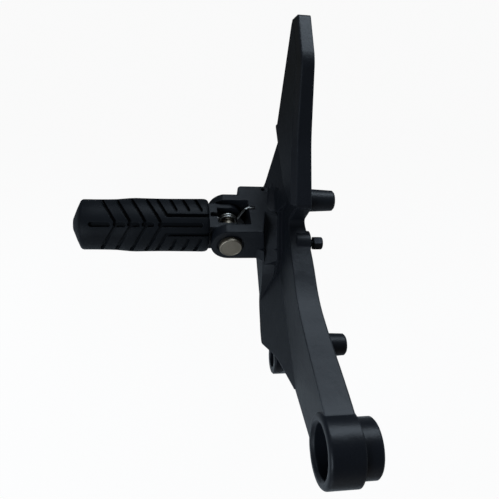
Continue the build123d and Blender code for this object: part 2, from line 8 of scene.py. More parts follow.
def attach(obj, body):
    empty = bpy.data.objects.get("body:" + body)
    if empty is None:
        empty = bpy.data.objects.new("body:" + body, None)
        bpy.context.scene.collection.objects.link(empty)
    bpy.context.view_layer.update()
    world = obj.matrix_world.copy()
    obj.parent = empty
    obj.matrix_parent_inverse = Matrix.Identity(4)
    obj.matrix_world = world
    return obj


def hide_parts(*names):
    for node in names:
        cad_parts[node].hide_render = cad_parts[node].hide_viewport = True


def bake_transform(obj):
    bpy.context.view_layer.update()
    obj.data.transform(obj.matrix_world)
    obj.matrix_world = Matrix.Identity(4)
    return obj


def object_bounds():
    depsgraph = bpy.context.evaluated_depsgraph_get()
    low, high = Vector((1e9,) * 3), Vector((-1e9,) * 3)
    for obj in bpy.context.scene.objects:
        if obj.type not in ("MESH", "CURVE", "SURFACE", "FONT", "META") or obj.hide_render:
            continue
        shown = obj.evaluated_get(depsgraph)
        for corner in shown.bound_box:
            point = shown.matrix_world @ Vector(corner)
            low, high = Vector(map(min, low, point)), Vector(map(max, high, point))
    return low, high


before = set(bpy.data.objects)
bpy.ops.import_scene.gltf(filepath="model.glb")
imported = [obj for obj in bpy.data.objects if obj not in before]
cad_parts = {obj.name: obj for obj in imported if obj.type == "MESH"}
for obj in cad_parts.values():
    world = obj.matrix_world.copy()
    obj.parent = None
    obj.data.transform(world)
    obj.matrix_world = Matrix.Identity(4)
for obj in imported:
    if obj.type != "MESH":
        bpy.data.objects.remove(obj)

bl_info = {
    "name": "Motorcycle footrest bracket",
    "version": (1, 0, 0),
    "blender": (4, 5, 0),
    "location": "3D View > Sidebar > Footrest",
    "description": "Dresses the footrest bracket with its pin, spring, bolt and finishes",
    "category": "Object",
}

cad_low, cad_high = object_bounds()

# Footpeg pivot in the row frame, in metres: the pin leans forward at half a right angle
pivot = Vector((-0.0627, 0.1154, -0.1070))
pin_lean = math.radians(45.0)
inboard = Vector((1.0, 0.0, 0.0))
pin_way = Vector((0.0, -math.sin(pin_lean), math.cos(pin_lean)))
fold_way = Vector((0.0, math.cos(pin_lean), math.sin(pin_lean)))

# Outline of the rubber, as reach outboard of the pivot and radius, in metres
rubber_outline = [
    (0.0141, 0.0158),
    (0.0143, 0.0165),
    (0.0149, 0.0172),
    (0.0160, 0.0177),
    (0.0180, 0.0179),
    (0.0240, 0.0178),
    (0.0320, 0.0177),
    (0.0400, 0.0176),
    (0.0480, 0.0176),
    (0.0560, 0.0177),
    (0.0620, 0.0178),
    (0.0660, 0.0176),
    (0.0700, 0.0172),
    (0.0740, 0.0168),
    (0.0800, 0.0166),
    (0.0880, 0.0165),
    (0.0950, 0.0165),
    (0.0960, 0.0162),
    (0.0968, 0.0155),
    (0.0990, 0.0108),
    (0.1013, 0.0050),
    (0.1017, 0.0041),
    (0.1018, 0.0034),
]

# Inside of the rubber, which grips the bar and its three collars
rubber_inside_end = 0.0980
collar_starts = (0.0300, 0.0560, 0.0800)
collar_long = 0.0050
collar_rise = 0.0020

# Straight grooves of the tread, each as reach and side of its two ends
middle_bars = [
    ((0.0200, 0.0), (0.0460, 0.0)),
    ((0.0514, 0.0), (0.0563, 0.0)),
    ((0.0604, 0.0), (0.0653, 0.0)),
    ((0.0694, 0.0), (0.0743, 0.0)),
    ((0.0789, 0.0), (0.0894, 0.0)),
]
elbow_grooves = [((0.0420, 0.0062), (0.0492, 0.0182)), ((0.0420, 0.0062), (0.0131, 0.0062))]
first_arm = ((0.0749, 0.0024), (0.0850, 0.0182))
first_short_arm = ((0.0362, 0.0099), (0.0404, 0.0182))
groove_floor = 0.0035

# Hole of the stop bolt in the arm, in metres
bolt_place = Vector((-0.0140, 0.1043, -0.0790))

# Points that lie closer than this are one, in a drawn piece and after a cut
drawn_merge = 0.000005
cut_merge = 0.000002

# Zones of the casting's finish, each from where it starts to show to where it is full
# The heel and face zones bound the painted warm reflection on the heel guard's face
heel_zone = (0.150, 0.220)
face_zone = (-0.0292, -0.0278)
hub_zone = (0.018, 0.030)
arm_start_zone = (0.026, 0.040)
arm_end_zone = (0.150, 0.170)
inner_edge_zone = (-0.024, -0.020)

# Softboxes, each as place, share of the key power, width and height
softboxes = {
    "rear_softbox": (Vector((0.14, 0.83, 0.18)), 0.92, 0.60, 0.40),
    "front_softbox": (Vector((-0.20, -0.70, 0.10)), 0.06, 0.50, 0.30),
    "ring_softbox": (Vector((-0.42, -0.12, 0.30)), 0.27, 0.30, 0.30),
}
softbox_target = Vector((-0.06, 0.11, -0.08))

# Camera: nearly straight above the footpeg, leaning and swung a little
camera_eye = Vector((-0.1137, 0.1159, 0.2672))
camera_tilt = math.radians(2.6)
camera_swing = math.radians(10.0)

# Floor: where its bounced tone darkens from front to rear, a painted shade under the heel guard, and
# how much the camera sees as white
floor_shade_fade = (0.03, 0.20)
floor_white_share = 0.95

# Surroundings: their colour, and the heights between which they dim from horizon to overhead
surround_colour = (0.95, 0.97, 1.0)
overhead_fade = (0.10, 0.85)

# Pin: its lead at the tail, and the shallow dish in the top of its head, as shares and depth
pin_lead_share = 0.85
dish_rim_share = 0.985
dish_floor_share = 0.95
dish_deep = 0.00015

# Cone that chamfers the bolt's head: its three rings, as shares of the head, and its start below
cone_root_share = 1.2
cone_middle_share = 1.02
cone_top_share = 0.93
cone_middle_height = 0.75
cone_start_below = 0.001

# Share of a groove's width that its round ends take on each side
groove_end_share = 0.48


class StageSettings(bpy.types.PropertyGroup):
    floor_front: FloatVectorProperty(
        name="Floor in front",
        description="Colour that the floor throws back under the ring; the camera sees it white",
        subtype="COLOR",
        size=3,
        min=0.0,
        max=1.0,
        default=(0.80, 0.82, 0.83),
    )
    # Painted shade: the floor throws back a dark tone under the heel guard
    floor_rear_painted_shade: FloatVectorProperty(
        name="Floor behind",
        description="Colour that the floor throws back under the heel guard",
        subtype="COLOR",
        size=3,
        min=0.0,
        max=1.0,
        default=(0.09, 0.09, 0.09),
    )
    floor_gap: FloatProperty(
        name="Floor gap",
        description="Drop from the lowest point of the bracket to the floor",
        subtype="DISTANCE",
        unit="LENGTH",
        default=0.001,
        min=0.0,
    )
    lens: FloatProperty(
        name="Lens",
        description="Focal length of the camera, in millimetres",
        default=39.68,
        min=10.0,
    )
    key_power: FloatProperty(
        name="Key lamp",
        description="Power in watts of which each softbox takes its share",
        default=6.5,
        min=0.0,
    )
    lamp_colour: FloatVectorProperty(
        name="Lamp colour",
        description="Colour of the soft lamps, a little cool",
        subtype="COLOR",
        size=3,
        min=0.0,
        max=1.0,
        default=(0.74, 0.87, 1.0),
    )
    horizon_strength: FloatProperty(
        name="Horizon",
        description="Strength of the surrounding light near the horizon",
        default=0.32,
        min=0.0,
    )
    overhead_strength: FloatProperty(
        name="Overhead",
        description="Strength of the surrounding light from straight above",
        default=0.10,
        min=0.0,
    )


class FinishSettings(bpy.types.PropertyGroup):
    casting_colour: FloatVectorProperty(
        name="Casting colour",
        description="Colour of the black coat on the casting",
        subtype="COLOR",
        size=3,
        min=0.0,
        max=1.0,
        default=(0.0062, 0.0074, 0.0100),
    )
    grain_colour: FloatVectorProperty(
        name="Grain colour",
        description="Colour of the fine sparkling specks in the coat",
        subtype="COLOR",
        size=3,
        min=0.0,
        max=1.0,
        default=(0.014, 0.017, 0.022),
    )
    # Painted warm reflection laid into the coat on the heel guard's outer face
    painted_heel_reflection_colour: FloatVectorProperty(
        name="Rubbed colour",
        description="Colour of the heel guard's face where boots rub it",
        subtype="COLOR",
        size=3,
        min=0.0,
        max=1.0,
        default=(0.0085, 0.0080, 0.0068),
    )
    # Lighter colour on worn edges, raised past real wear as a painted highlight along the edges
    worn_edge_and_sheen_colour: FloatVectorProperty(
        name="Edge colour",
        description="Colour of the coat where its edges are worn",
        subtype="COLOR",
        size=3,
        min=0.0,
        max=1.0,
        default=(0.060, 0.066, 0.076),
    )
    casting_shine: FloatProperty(
        name="Coat shine",
        description="Mirror strength of the black coat",
        subtype="FACTOR",
        default=0.17,
        min=0.0,
        max=1.0,
    )
    rubber_shine: FloatProperty(
        name="Rubber shine",
        description="Mirror strength of the rubber",
        subtype="FACTOR",
        default=0.11,
        min=0.0,
        max=1.0,
    )
    rubber_colour: FloatVectorProperty(
        name="Rubber colour",
        description="Colour of the footpeg's rubber",
        subtype="COLOR",
        size=3,
        min=0.0,
        max=1.0,
        default=(0.0034, 0.0043, 0.0058),
    )
    pin_colour: FloatVectorProperty(
        name="Pin colour",
        description="Colour of the turned steel pin",
        subtype="COLOR",
        size=3,
        min=0.0,
        max=1.0,
        default=(0.27, 0.235, 0.185),
    )
    spring_colour: FloatVectorProperty(
        name="Spring colour",
        description="Colour of the bright spring wire",
        subtype="COLOR",
        size=3,
        min=0.0,
        max=1.0,
        default=(0.42, 0.42, 0.40),
    )
    bolt_colour: FloatVectorProperty(
        name="Bolt colour",
        description="Colour of the dark plated bolt",
        subtype="COLOR",
        size=3,
        min=0.0,
        max=1.0,
        default=(0.020, 0.021, 0.024),
    )


class PinSettings(bpy.types.PropertyGroup):
    shank_radius: FloatProperty(
        name="Shank radius",
        description="Radius of the pivot pin",
        subtype="DISTANCE",
        unit="LENGTH",
        default=0.004,
    )
    head_radius: FloatProperty(
        name="Head radius",
        description="Radius of the pin's flat head",
        subtype="DISTANCE",
        unit="LENGTH",
        default=0.0077,
    )
    head_low: FloatProperty(
        name="Head seat",
        description="Place of the head's underside along the pin",
        subtype="DISTANCE",
        unit="LENGTH",
        default=0.0177,
    )
    head_high: FloatProperty(
        name="Head face",
        description="Place of the head's outer face along the pin",
        subtype="DISTANCE",
        unit="LENGTH",
        default=0.0215,
    )
    rim_round: FloatProperty(
        name="Head rim",
        description="Radius of the rounded rim of the head",
        subtype="DISTANCE",
        unit="LENGTH",
        default=0.0009,
    )
    tail_end: FloatProperty(
        name="Tail end",
        description="Place of the pin's far end",
        subtype="DISTANCE",
        unit="LENGTH",
        default=-0.0222,
    )
    groove_radius: FloatProperty(
        name="Groove radius",
        description="Radius at the bottom of the retaining ring's groove",
        subtype="DISTANCE",
        unit="LENGTH",
        default=0.0033,
    )
    groove_low: FloatProperty(
        name="Groove start",
        description="Lower side of the retaining ring's groove",
        subtype="DISTANCE",
        unit="LENGTH",
        default=-0.0198,
    )
    groove_high: FloatProperty(
        name="Groove end",
        description="Upper side of the retaining ring's groove",
        subtype="DISTANCE",
        unit="LENGTH",
        default=-0.0188,
    )
    sides: IntProperty(name="Sides", description="Sides of the turned pin", default=96, min=12)


class SleeveSettings(bpy.types.PropertyGroup):
    groove_deep: FloatProperty(
        name="Groove depth",
        description="Depth of the tread's grooves",
        subtype="DISTANCE",
        unit="LENGTH",
        default=0.0023,
    )
    groove_wide: FloatProperty(
        name="Groove width",
        description="Width of the leaning grooves",
        subtype="DISTANCE",
        unit="LENGTH",
        default=0.0022,
    )
    bar_wide: FloatProperty(
        name="Middle width",
        description="Width of the grooves on the middle line",
        subtype="DISTANCE",
        unit="LENGTH",
        default=0.0031,
    )
    arm_count: IntProperty(name="Arms", description="Long leaning grooves on each side", default=4)
    arm_pitch: FloatProperty(
        name="Arm pitch",
        description="Distance from one long leaning groove to the next",
        subtype="DISTANCE",
        unit="LENGTH",
        default=0.0096,
    )
    short_count: IntProperty(
        name="Short arms", description="Short leaning grooves on each side", default=3
    )
    short_pitch: FloatProperty(
        name="Short arm pitch",
        description="Distance from one short leaning groove to the next",
        subtype="DISTANCE",
        unit="LENGTH",
        default=0.0082,
    )
    bore_radius: FloatProperty(
        name="Bore",
        description="Radius of the hole that takes the footpeg's bar",
        subtype="DISTANCE",
        unit="LENGTH",
        default=0.00855,
    )
    sides: IntProperty(name="Sides", description="Sides of the turned rubber", default=96, min=24)


class SpringSettings(bpy.types.PropertyGroup):
    wire_radius: FloatProperty(
        name="Wire radius",
        description="Radius of the spring's wire",
        subtype="DISTANCE",
        unit="LENGTH",
        default=0.0008,
    )
    coil_radius: FloatProperty(
        name="Coil radius",
        description="Radius of the coil at the middle of its wire",
        subtype="DISTANCE",
        unit="LENGTH",
        default=0.006,
    )
    pitch: FloatProperty(
        name="Pitch",
        description="Climb of the coil in one turn",
        subtype="DISTANCE",
        unit="LENGTH",
        default=0.0021,
    )
    turns: FloatProperty(name="Turns", description="Turns of the coil", default=2.44, min=0.5)
    near_end: FloatProperty(
        name="Near end",
        description="Place of the coil's near end along the pin",
        subtype="DISTANCE",
        unit="LENGTH",
        default=-0.0012,
    )
    bend_radius: FloatProperty(
        name="Bend radius",
        description="Radius of the bends of both legs",
        subtype="DISTANCE",
        unit="LENGTH",
        default=0.002,
    )
    lead: FloatProperty(
        name="Lead",
        description="Straight run between the coil and the hooked leg's first bend",
        subtype="DISTANCE",
        unit="LENGTH",
        default=0.003,
    )
    hook_bend: FloatVectorProperty(
        name="Hook bend",
        description="Corner of the hooked leg: inboard, up the fold and along the pin",
        subtype="XYZ",
        unit="LENGTH",
        size=3,
        default=(0.0116, 0.0123, -0.0046),
    )
    hook_end: FloatProperty(
        name="Hook end",
        description="How far inboard the hooked leg reaches",
        subtype="DISTANCE",
        unit="LENGTH",
        default=0.0172,
    )
    rest_height: FloatProperty(
        name="Rest height",
        description="Height of the resting leg over the pin, up the fold",
        subtype="DISTANCE",
        unit="LENGTH",
        default=0.0062,
    )
    rest_reach: FloatProperty(
        name="Rest reach",
        description="How far outboard the resting leg reaches",
        subtype="DISTANCE",
        unit="LENGTH",
        default=0.0123,
    )
    sides: IntProperty(name="Sides", description="Sides of the wire", default=16, min=6)


class BoltSettings(bpy.types.PropertyGroup):
    flats: FloatProperty(
        name="Across flats",
        description="Width of the hexagon head across its flats",
        subtype="DISTANCE",
        unit="LENGTH",
        default=0.008,
    )
    head_long: FloatProperty(
        name="Head height",
        description="Height of the hexagon head",
        subtype="DISTANCE",
        unit="LENGTH",
        default=0.0058,
    )
    neck: FloatProperty(
        name="Open thread",
        description="Length of thread between the boss and the head",
        subtype="DISTANCE",
        unit="LENGTH",
        default=0.0033,
    )
    grip: FloatProperty(
        name="Grip",
        description="Length of thread inside the boss",
        subtype="DISTANCE",
        unit="LENGTH",
        default=0.008,
    )
    radius: FloatProperty(
        name="Thread radius",
        description="Outer radius of the thread",
        subtype="DISTANCE",
        unit="LENGTH",
        default=0.0025,
    )
    thread_pitch: FloatProperty(
        name="Thread pitch",
        description="Distance from one crest of the thread to the next",
        subtype="DISTANCE",
        unit="LENGTH",
        default=0.0008,
    )
    thread_deep: FloatProperty(
        name="Thread depth",
        description="Depth of the thread",
        subtype="DISTANCE",
        unit="LENGTH",
        default=0.0004,
    )
    sides: IntProperty(name="Sides", description="Sides of the shank", default=48, min=12)


class Wire:
    """A socket of a material's node tree, with arithmetic that adds Math nodes."""

    def __init__(self, tree, socket):
        self.tree = tree
        self.socket = socket

    def math(self, operation, *others):
        return node(self.tree, "ShaderNodeMath", {"operation": operation}, [self, *others])

    def __add__(self, other):
        return self.math("ADD", other)

    __radd__ = __add__

    def __mul__(self, other):
        return self.math("MULTIPLY", other)

    __rmul__ = __mul__

    def __sub__(self, other):
        return self.math("SUBTRACT", other)

    def __rsub__(self, other):
        return node(self.tree, "ShaderNodeMath", {"operation": "SUBTRACT"}, [other, self])

    def __pow__(self, other):
        return self.math("POWER", other)


def node(tree, kind, settings=None, inputs=(), output=0):
    """Adds a node, sets it up, then gives its sockets values or links."""
    made = tree.nodes.new(kind)
    for key, value in (settings or {}).items():
        setattr(made, key, value)
    pairs = inputs.items() if isinstance(inputs, dict) else enumerate(inputs)
    for key, value in pairs:
        if isinstance(value, Wire):
            tree.links.new(value.socket, made.inputs[key])
        elif value is not None:
            made.inputs[key].default_value = value
    return Wire(tree, made.outputs[output]) if made.outputs else None


def new_material(name):
    material = bpy.data.materials.new(name)
    material.use_nodes = True
    tree = material.node_tree
    tree.nodes.clear()
    return material, tree


def object_place(tree, scale=1.0, turn=(0.0, 0.0, 0.0), centre=(0.0, 0.0, 0.0)):
    """Object coordinates seen from a centre, in turned and scaled axes."""
    coordinates = tree.nodes.new("ShaderNodeTexCoord")
    place = Wire(tree, coordinates.outputs["Object"])
    scales = scale if isinstance(scale, tuple) else (scale, scale, scale)
    return node(
        tree,
        "ShaderNodeMapping",
        {"vector_type": "TEXTURE"},
        {"Vector": place, "Location": centre, "Rotation": turn, "Scale": scales},
    )


def noise(tree, place, scale, detail=2.0, roughness=0.5):
    return node(
        tree,
        "ShaderNodeTexNoise",
        {},
        {"Vector": place, "Scale": scale, "Detail": detail, "Roughness": roughness},
    )


def band(tree, value, low, high):
    """A mask that climbs from 0 to 1 between two values."""
    return node(
        tree,
        "ShaderNodeMapRange",
        {"interpolation_type": "SMOOTHSTEP"},
        {"Value": value, "From Min": low, "From Max": high, "To Min": 0.0, "To Max": 1.0},
    )


def axis_value(tree, place, axis):
    return node(tree, "ShaderNodeSeparateXYZ", {}, [place], output="XYZ".index(axis))


def blend_colour(tree, share, first, second):
    return node(
        tree,
        "ShaderNodeMix",
        {"data_type": "RGBA"},
        {0: share, 6: first, 7: second},
        output=2,
    )


def rgba(colour, factor=1.0):
    return (colour[0] * factor, colour[1] * factor, colour[2] * factor, 1.0)


def surface(tree, colour, roughness, normal, metallic=0.0, specular=0.5):
    shader = node(
        tree,
        "ShaderNodeBsdfPrincipled",
        {},
        {
            "Base Color": colour,
            "Roughness": roughness,
            "Metallic": metallic,
            "Normal": normal,
            "Specular IOR Level": specular,
        },
    )
    node(tree, "ShaderNodeOutputMaterial", {}, {"Surface": shader})


def bump(tree, height, strength, distance, normal=None):
    return node(
        tree,
        "ShaderNodeBump",
        {},
        {"Height": height, "Strength": strength, "Distance": distance, "Normal": normal},
    )


def soft_edges(tree, radius):
    return node(tree, "ShaderNodeBevel", {"samples": 6}, {"Radius": radius})


def sharp_edge_mask(tree, rounded, spread):
    """A mask that is 1 on sharp edges and 0 on flat faces."""
    face = Wire(tree, tree.nodes.new("ShaderNodeNewGeometry").outputs["Normal"])
    likeness = node(
        tree, "ShaderNodeVectorMath", {"operation": "DOT_PRODUCT"}, [face, rounded], output=1
    )
    return band(tree, 1.0 - likeness, 0.0, spread)


def casting_material(settings):
    """Black satin coat over a sand-cast skin.

    Fine grain, orange peel and soft waves, worn edges lightened further by a painted highlight, a
    painted warm reflection on the heel face, a smoother hub and a dull line along the arm's outer
    upper edge.
    """
    material, tree = new_material("black_coated_casting")
    place = object_place(tree)
    grain = noise(tree, place, 1700.0, detail=2.0, roughness=0.65)
    peel = noise(tree, place, 620.0, detail=2.0, roughness=0.5)
    waves = noise(tree, place, 110.0, detail=2.0)
    patches = noise(tree, place, 26.0, detail=4.0, roughness=0.6)
    along, across = axis_value(tree, place, "Y"), axis_value(tree, place, "X")
    rounded = soft_edges(tree, radius=0.0013)
    sharp = sharp_edge_mask(tree, rounded, spread=0.14)
    edge_sheen_and_wear = sharp * band(tree, patches, 0.30, 0.62)
    rear = band(tree, along, *heel_zone)
    outer = 1.0 - band(tree, across, *face_zone)
    hub = 1.0 - band(tree, along, *hub_zone)
    arm = band(tree, along, *arm_start_zone) * (1.0 - band(tree, along, *arm_end_zone))
    dull_line = sharp * arm * (1.0 - band(tree, across, *inner_edge_zone))
    # Painted warm reflection on the heel guard's outer face, patchy across it
    painted_heel_reflection = rear * outer * (0.55 + patches * 0.9)
    coat = blend_colour(
        tree, patches, rgba(settings.casting_colour, 0.75), rgba(settings.casting_colour, 1.3)
    )
    speckle = band(tree, grain, 0.56, 0.70)
    coat = blend_colour(tree, speckle * 0.35, coat, rgba(settings.grain_colour))
    # The painted warm reflection tints the coat on the heel guard's face
    coat = blend_colour(tree, painted_heel_reflection * 0.8, coat, rgba(settings.painted_heel_reflection_colour))
    # Worn edges lightened well past the coat: partly real wear, partly a painted highlight along the
    # edges, kept off the dull line
    colour = blend_colour(tree, edge_sheen_and_wear * 0.6 * (1.0 - dull_line), coat, rgba(settings.worn_edge_and_sheen_colour))
    roughness = 0.33 + patches * 0.12 + peel * 0.06 + painted_heel_reflection * 0.06 - edge_sheen_and_wear * 0.08
    roughness = roughness - hub * 0.07 + dull_line * 0.9
    height = grain * 0.35 + peel * 0.45 + waves * 1.6
    normal = bump(tree, height, strength=0.26, distance=0.0005, normal=rounded)
    surface(tree, colour, roughness, normal, specular=settings.casting_shine)
    return material


def rubber_material(settings):
    """Deep black rubber with a fine grain and a faint bloom."""
    material, tree = new_material("peg_rubber")
    place = object_place(tree)
    grain = noise(tree, place, 1900.0, detail=2.0, roughness=0.6)
    bloom = noise(tree, place, 42.0, detail=4.0, roughness=0.65)
    rounded = soft_edges(tree, radius=0.0006)
    edge_sheen_and_wear = sharp_edge_mask(tree, rounded, spread=0.25)
    colour = blend_colour(
        tree, bloom, rgba(settings.rubber_colour, 0.7), rgba(settings.rubber_colour, 1.4)
    )
    # Edges lightened past the rubber: partly wear, partly a painted highlight along the edges
    colour = blend_colour(tree, edge_sheen_and_wear * 0.35, colour, rgba(settings.rubber_colour, 2.6))
    roughness = 0.40 + bloom * 0.14 + grain * 0.10
    normal = bump(tree, grain, strength=0.20, distance=0.0003, normal=rounded)
    surface(tree, colour, roughness, normal, specular=settings.rubber_shine)
    return material


def peg_material(settings):
    """Black coat on the steel bar of the footpeg, its worn edges lightened further by a painted
    highlight.
    """
    material, tree = new_material("black_coated_peg")
    place = object_place(tree)
    peel = noise(tree, place, 800.0, detail=3.0, roughness=0.6)
    patches = noise(tree, place, 60.0, detail=3.0)
    rounded = soft_edges(tree, radius=0.0007)
    edge_sheen_and_wear = sharp_edge_mask(tree, rounded, spread=0.2) * band(tree, patches, 0.35, 0.6)
    coat = blend_colour(
        tree, patches, rgba(settings.casting_colour, 0.8), rgba(settings.casting_colour, 1.5)
    )
    # Worn edges lightened past the coat: partly real wear, partly a painted highlight along the edges
    colour = blend_colour(tree, edge_sheen_and_wear * 0.5, coat, rgba(settings.worn_edge_and_sheen_colour))
    roughness = 0.36 + patches * 0.14 - edge_sheen_and_wear * 0.08
    normal = bump(tree, peel, strength=0.22, distance=0.0004, normal=rounded)
    surface(tree, colour, roughness, normal, specular=settings.casting_shine)
    return material


def steel_material(name, colour_value, rough):
    """Steel turned about the pin's axis: rings of tool marks, stains and a few fine scratches."""
    material, tree = new_material(name)
    place = object_place(tree, turn=(pin_lean, 0.0, 0.0), centre=tuple(pivot))
    across_x = axis_value(tree, place, "X")
    across_y = axis_value(tree, place, "Y")
    along = axis_value(tree, place, "Z")
    radius = (across_x * across_x + across_y * across_y) ** 0.5
    rings = node(tree, "ShaderNodeCombineXYZ", {}, [radius, along, 0.0])
    marks = noise(tree, rings, 5200.0, detail=2.0, roughness=0.7)
    stains = noise(tree, place, 150.0, detail=4.0, roughness=0.6)
    drawn_out = object_place(tree, (0.2, 1.0, 1.0))
    scratches = band(tree, noise(tree, drawn_out, 900.0, detail=2.0), 0.62, 0.70)
    colour = blend_colour(tree, stains, rgba(colour_value, 0.70), rgba(colour_value, 1.15))
    colour = blend_colour(tree, scratches * 0.5, colour, rgba(colour_value, 1.5))
    roughness = rough + stains * 0.16 + marks * 0.12
    rounded = soft_edges(tree, radius=0.0003)
    height = marks + scratches * 0.4
    normal = bump(tree, height, strength=0.22, distance=0.00012, normal=rounded)
    surface(tree, colour, roughness, normal, metallic=1.0)
    return material


def wire_material(name, colour_value):
    """Drawn wire: bright, with fine die lines and small dull spots."""
    material, tree = new_material(name)
    place = object_place(tree)
    drawn_out = object_place(tree, (3.0, 1.0, 1.0))
    lines = noise(tree, drawn_out, 2600.0, detail=2.0, roughness=0.6)
    spots = noise(tree, place, 420.0, detail=3.0, roughness=0.6)
    colour = blend_colour(
        tree, band(tree, spots, 0.35, 0.70), rgba(colour_value), rgba(colour_value, 0.62)
    )
    roughness = 0.20 + spots * 0.22 + lines * 0.06
    normal = bump(tree, lines, strength=0.15, distance=0.0001)
    surface(tree, colour, roughness, normal, metallic=1.0)
    return material


def dress(piece, material):
    piece.data.materials.clear()
    piece.data.materials.append(material)


def deselect_all():
    bpy.ops.object.select_all(action="DESELECT")


def select_only(piece):
    deselect_all()
    piece.select_set(True)
    bpy.context.view_layer.objects.active = piece


def finish_mesh(piece, smooth_angle=32.0):
    """Closes the edit: faces outward, smooth up to an angle, place kept in the mesh."""
    bpy.ops.mesh.select_all(action="SELECT")
    bpy.ops.mesh.remove_doubles(threshold=drawn_merge)
    bpy.ops.mesh.normals_make_consistent(inside=False)
    bpy.ops.object.mode_set(mode="OBJECT")
    bpy.ops.object.transform_apply(location=True, rotation=True, scale=True)
    bpy.ops.object.shade_smooth_by_angle(angle=math.radians(smooth_angle))
    return piece


def begin_disc(name, radius, sides, location, rotation):
    """A filled disc, selected in edit mode, as the start of a drawn piece."""
    deselect_all()
    bpy.ops.mesh.primitive_circle_add(
        vertices=sides, radius=radius, fill_type="NGON", location=location, rotation=rotation
    )
    piece = bpy.context.object
    piece.name = name
    bpy.ops.object.mode_set(mode="EDIT")
    bpy.ops.mesh.select_all(action="SELECT")
    return piece


def draw_ring(way, distance, grow):
    """Draws the selected disc on by a distance, then makes it wider or narrower."""
    bpy.ops.mesh.extrude_region_move(TRANSFORM_OT_translate={"value": way * distance})
    if grow != 1.0:
        bpy.ops.transform.resize(value=(grow, grow, grow))


def draw_turned(name, rings, sides, location, rotation):
    """A turned piece, from rings of place along its axis and radius."""
    way = rotation.to_matrix() @ Vector((0.0, 0.0, 1.0))
    place, radius = rings[0]
    piece = begin_disc(name, radius, sides, location + way * place, rotation)
    for next_place, next_radius in rings[1:]:
        draw_ring(way, next_place - place, next_radius / radius)
        place, radius = next_place, next_radius
    return piece


def rounded_rim(low, high, radius, rim, steps=4):
    """Rings of a head whose outer rim is rounded."""
    rings = [(low, radius)]
    for i in range(steps + 1):
        angle = math.pi / 2 * i / steps
        rings.append((high - rim * (1.0 - math.sin(angle)), radius - rim * (1.0 - math.cos(angle))))
    return rings


def pin_point(along_x, along_fold, along_pin):
    """A point given inboard, up the fold and along the pin, from the pivot."""
    return pivot + inboard * along_x + fold_way * along_fold + pin_way * along_pin


def draw_straight(to, here):
    bpy.ops.mesh.extrude_region_move(TRANSFORM_OT_translate={"value": to - here})
    return to


def draw_bend(corner, after, here, radius, steps=7):
    """Draws a wire's end to a bend, then round it, up to where the next run starts."""
    before = (corner - here).normalized()
    onward = (after - corner).normalized()
    turn = before.angle(onward)
    back = radius * math.tan(turn / 2.0)
    axis = before.cross(onward).normalized()
    start = corner - before * back
    draw_straight(start, here)
    centre = start + axis.cross(before) * radius
    bpy.ops.mesh.spin(steps=steps, angle=-turn, center=centre, axis=axis)
    return corner + onward * back


def draw_coil(centre, turns, pitch, steps_per_turn=28):
    """Draws a wire's end round the pin, left-handed, as it climbs along it."""
    steps = round(turns * steps_per_turn)
    for i in range(steps):
        bpy.ops.mesh.spin(steps=1, angle=math.tau * turns / steps, center=centre, axis=pin_way)
        bpy.ops.transform.translate(value=pin_way * (pitch * turns / steps))


def trim_by(piece, cutter, operation, self_crossing=False):
    """Cuts a piece by another, clears the sliver faces of the cut and removes the cutter."""
    select_only(piece)
    cut = piece.modifiers.new("cut", "BOOLEAN")
    cut.operation = operation
    cut.solver = "EXACT"
    cut.use_self = self_crossing
    cut.object = cutter
    bpy.ops.object.modifier_apply(modifier=cut.name)
    bpy.ops.object.mode_set(mode="EDIT")
    bpy.ops.mesh.select_all(action="SELECT")
    bpy.ops.mesh.remove_doubles(threshold=cut_merge)
    bpy.ops.mesh.quads_convert_to_tris(quad_method="BEAUTY", ngon_method="BEAUTY")
    bpy.ops.mesh.dissolve_degenerate(threshold=cut_merge)
    bpy.ops.object.mode_set(mode="OBJECT")
    select_only(cutter)
    bpy.ops.object.delete()


def groove_bar(start, end, wide, top):
    """A straight groove's cutter with round ends, over the upper face of the peg."""
    deselect_all()
    run = Vector((start[0] - end[0], end[1] - start[1]))
    reach = (start[0] + end[0]) / 2
    side = (start[1] + end[1]) / 2
    middle = pivot + Vector((-reach, side, (groove_floor + top) / 2))
    turn = (0.0, 0.0, math.atan2(run.y, run.x))
    bpy.ops.mesh.primitive_cube_add(size=1.0, location=middle, rotation=turn)
    bar = bpy.context.object
    bpy.ops.object.mode_set(mode="EDIT")
    bpy.ops.mesh.select_all(action="DESELECT")
    bpy.ops.object.mode_set(mode="OBJECT")
    for edge in bar.data.edges:
        ends = [bar.data.vertices[i].co for i in edge.vertices]
        edge.select = abs(ends[0].z - ends[1].z) > 0.5
    bar.scale = (run.length + wide, wide, top - groove_floor)
    bpy.ops.object.transform_apply(location=False, rotation=False, scale=True)
    bpy.ops.object.mode_set(mode="EDIT")
    bpy.ops.mesh.select_mode(type="EDGE")
    bpy.ops.mesh.bevel(
        offset=wide * groove_end_share, offset_type="OFFSET", segments=4, affect="EDGES"
    )
    bpy.ops.mesh.select_mode(type="VERT")
    bpy.ops.object.mode_set(mode="OBJECT")
    return bar


def copies_along(piece, count, step):
    """The piece and its copies, each a step further on."""
    pieces = [piece]
    for i in range(1, count):
        other = piece.copy()
        other.data = piece.data.copy()
        bpy.context.collection.objects.link(other)
        other.location = piece.location + step * i
        pieces.append(other)
    return pieces


def joined(pieces):
    deselect_all()
    for piece in pieces:
        piece.select_set(True)
    bpy.context.view_layer.objects.active = pieces[0]
    bpy.ops.object.join()
    bpy.ops.object.transform_apply(location=True, rotation=True, scale=True)
    return pieces[0]


def flipped(point):
    return (point[0], -point[1])


